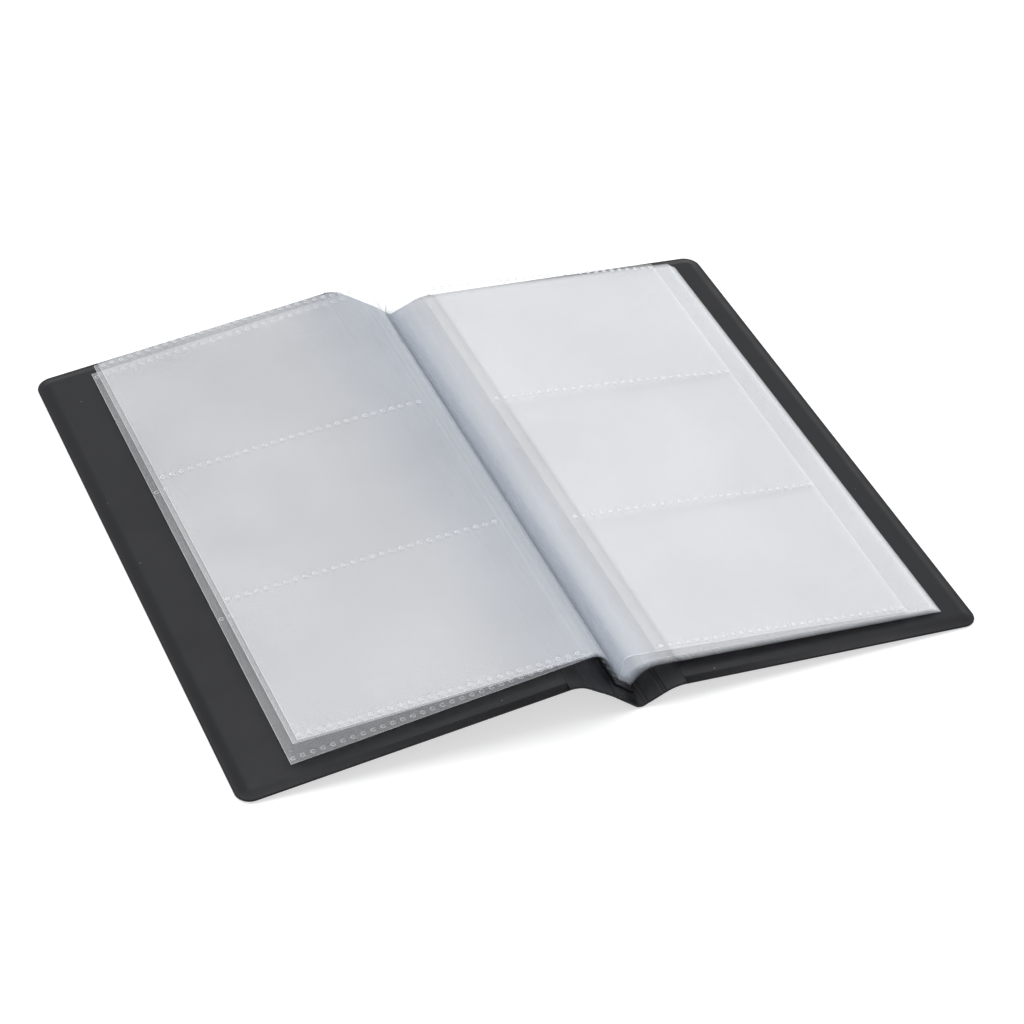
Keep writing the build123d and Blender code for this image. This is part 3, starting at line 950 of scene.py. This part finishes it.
def dress_floor(tree, shader):
    """Pale matte floor with a glow that only shows where it is seen, so that it keeps its shadows."""
    tree.nodes.remove(shader)
    lift = maths(tree, "MULTIPLY", seen_directly(tree), 0.6)
    matte = add(tree, "ShaderNodeBsdfDiffuse", {"Color": (0.52, 0.52, 0.52, 1)})
    glow = add(tree, "ShaderNodeEmission", {"Color": (1, 1, 1, 1), "Strength": lift})
    both = add(tree, "ShaderNodeAddShader", {0: (matte, "BSDF"), 1: (glow, "Emission")})
    feed(tree, tree.nodes["Material Output"], {"Surface": (both, "Shader")})


# Operators

class BOOK_OT_cover_panels(bpy.types.Operator):
    """Makes the welded skins of the two panels and the spine, and paints their boards"""

    bl_idname = "pocket_book.cover_panels"
    bl_label = "Cover Panels"

    def execute(self, context):
        cover = settings().cover
        skin = cover_skin()
        for name, origin, side in (("front", FRONT_COVER_FOLD, -1), ("back", BACK_COVER_FOLD, 1)):
            piece = panel_shell(f"{name}_cover_panel", origin, panel_lie(name), side, cover.panel_width,
                                (cover.cover_bend, 0), cover.rim_slope, cover.corner_radius, skin)
            settle_in(piece, f"{name}_cover", "cover_skin", f"{name}_outer_skin", f"{name}_inner_skin")
        piece = panel_shell("spine_panel", BACK_SPINE_FOLD, spine_lie(), -1, spine_width(),
                            (cover.spine_bend, cover.spine_bend), cover.spine_slope, 0, skin)
        settle_in(piece, "spine", "cover_skin", "spine_outer_skin", "spine_inner_skin")
        for name in ("front_board", "back_board", "spine_board"):
            node = frame["nodes"][name]
            node.data.materials.clear()
            node.data.materials.append(dressed("Pulp board", dress_board))
        return {"FINISHED"}


class BOOK_OT_hinges(bpy.types.Operator):
    """Makes the two flexible webs, which go with their hinges, and the four folds"""

    bl_idname = "pocket_book.hinges"
    bl_label = "Hinge Webs and Folds"

    def execute(self, context):
        cover = settings().cover
        skin = cover_skin()
        for name, low, high, side, spine in (
                ("front", FRONT_SPINE_FOLD, FRONT_COVER_FOLD, -1, spine_lie()),
                ("back", BACK_SPINE_FOLD, BACK_COVER_FOLD, 1, spine_lie() - 180)):
            hinge, panel = f"{name}_hinge", f"{name}_cover"
            piece = web_skin(f"{name}_web_skin", low, high, side)
            settle_in(piece, hinge, "cover_skin", f"{name}_hinge_web")
            web = bearing(low, high)
            for place, corner, lies, reach, stiff_end, slope, bodies in (
                    ("spine", low, (spine, web), cover.spine_bend, -1, cover.spine_slope, ("spine", hinge)),
                    ("cover", high, (web, panel_lie(name)), cover.cover_bend, 1, cover.rim_slope,
                     (hinge, panel))):
                middle, normal, half = fold_line(corner, *lies, reach, side, stiff_end, slope)
                piece = skin_strip(f"{name}_{place}_fold_skin", middle, normal, half, cover.height / 2, skin)
                ends = carry(middle[[0, -1]], 0.0)
                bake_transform(piece)
                settle_in(piece, None, "cover_skin", f"{name}_{place}_fold")
        return {"FINISHED"}


class BOOK_OT_binding_strip(bpy.types.Operator):
    """Makes the binding strip on the spine and the weld beads at the leaves' roots"""

    bl_idname = "pocket_book.binding_strip"
    bl_label = "Binding Strip"

    def execute(self, context):
        settle_in(strip_bar(), "spine", "binding_strip", "binding_strip")
        settle_in(root_beads(), "spine", "clear_film")
        return {"FINISHED"}


class BOOK_OT_pocket_leaves(bpy.types.Operator):
    """Makes the folded pocket film of each leaf and its rows of weld rings"""

    bl_idname = "pocket_book.pocket_leaves"
    bl_label = "Pocket Leaves"

    def execute(self, context):
        for number, leaf in LEAVES.items():
            body = f"leaf_{number:02d}"
            axis = carry(polar(1.0, leaf.lie + 90), 0.0)
            anchor = carry(np.array(leaf.mouth) * MM + polar(0.1 * MM, leaf.lie + 90), 0.0)
            film = settle_in(pocket_film(number), body, "clear_film", f"{body}_back_film", f"{body}_front_film")
            welds = settle_in(weld_rows(number), body, "clear_film")
            if number in (*UPPER_LEFT, TOP_RIGHT):
                for piece in (film, welds):
                    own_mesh(piece)
        return {"FINISHED"}


class BOOK_OT_margins(bpy.types.Operator):
    """Makes the curved margins that join the leaves to the binding strip; only the last film of a left margin
    goes with its leaf
    """

    bl_idname = "pocket_book.margins"
    bl_label = "Leaf Margins"

    def execute(self, context):
        for number in LEAVES:
            if number <= LEFT_LEAVES:
                left_margin(number)
            else:
                right_margin(number)
        return {"FINISHED"}


class BOOK_OT_stage(bpy.types.Operator):
    """Sets up the pale floor, the soft studio light and the camera"""

    bl_idname = "pocket_book.stage"
    bl_label = "Studio Stage"

    def execute(self, context):
        scene = context.scene
        light = settings().light
        scene.view_settings.view_transform = "Standard"
        scene.cycles.transparent_max_bounces = FILMS_SEEN_THROUGH
        scene.world = studio_world(light.room)

        corners = np.array([(-1, -1, 0), (1, -1, 0), (1, 1, 0), (-1, 1, 0)]) * FLOOR_REACH
        matte = dressed("Pale floor", dress_floor)
        make_piece("studio_floor", corners, np.array([[0, 1, 2, 3]]), matte)

        lamp = bpy.data.lights.new("Key lamp", "AREA")
        lamp.shape, lamp.size, lamp.energy = "DISK", LAMP_SIZE, light.key
        key = bpy.data.objects.new("Key lamp", lamp)
        scene.collection.objects.link(key)
        back = np.array(LAMP_PLACE) / np.linalg.norm(LAMP_PLACE)
        right = np.cross((0, 0, 1), back)
        right /= np.linalg.norm(right)
        key.matrix_world = facing_matrix(right, np.cross(back, right), back, LAMP_PLACE)

        camera = bpy.data.cameras.new("Camera")
        camera.lens, camera.clip_start = CAMERA_LENS, CAMERA_NEAR
        view = bpy.data.objects.new("Camera", camera)
        scene.collection.objects.link(view)
        view.matrix_world = facing_matrix(CAMERA_RIGHT, CAMERA_UP, CAMERA_BACK, CAMERA_PLACE)
        scene.camera = view
        return {"FINISHED"}


class BOOK_PT_panel(bpy.types.Panel):
    """Lists the steps and settings of the display book"""

    bl_idname = "BOOK_PT_panel"
    bl_label = "Pocket Book"
    bl_space_type = "VIEW_3D"
    bl_region_type = "UI"
    bl_category = "Pocket Book"

    def draw(self, context):
        book = context.scene.pocket_book
        for operator in OPERATORS:
            self.layout.operator(operator.bl_idname)
        for group in (book.cover, book.leaf, book.finish, book.light):
            box = self.layout.box()
            for name in group.__annotations__:
                box.prop(group, name)


OPERATORS = (BOOK_OT_cover_panels, BOOK_OT_hinges, BOOK_OT_binding_strip, BOOK_OT_pocket_leaves,
             BOOK_OT_margins, BOOK_OT_stage)
CLASSES = (CoverSizes, LeafSizes, BookFinishes, StageLight, PocketBook, *OPERATORS, BOOK_PT_panel)


def register():
    """Registers the classes and the scene's settings."""
    for item in CLASSES:
        bpy.utils.register_class(item)
    bpy.types.Scene.pocket_book = PointerProperty(type=PocketBook)


def unregister():
    """Removes the settings and the classes."""
    del bpy.types.Scene.pocket_book
    for item in reversed(CLASSES):
        bpy.utils.unregister_class(item)


def main():
    """Builds the book and its stage."""
    register()
    bpy.ops.pocket_book.cover_panels()
    bpy.ops.pocket_book.hinges()
    bpy.ops.pocket_book.binding_strip()
    bpy.ops.pocket_book.pocket_leaves()
    bpy.ops.pocket_book.margins()
    bpy.ops.pocket_book.stage()


if __name__ == "__main__":
    main()
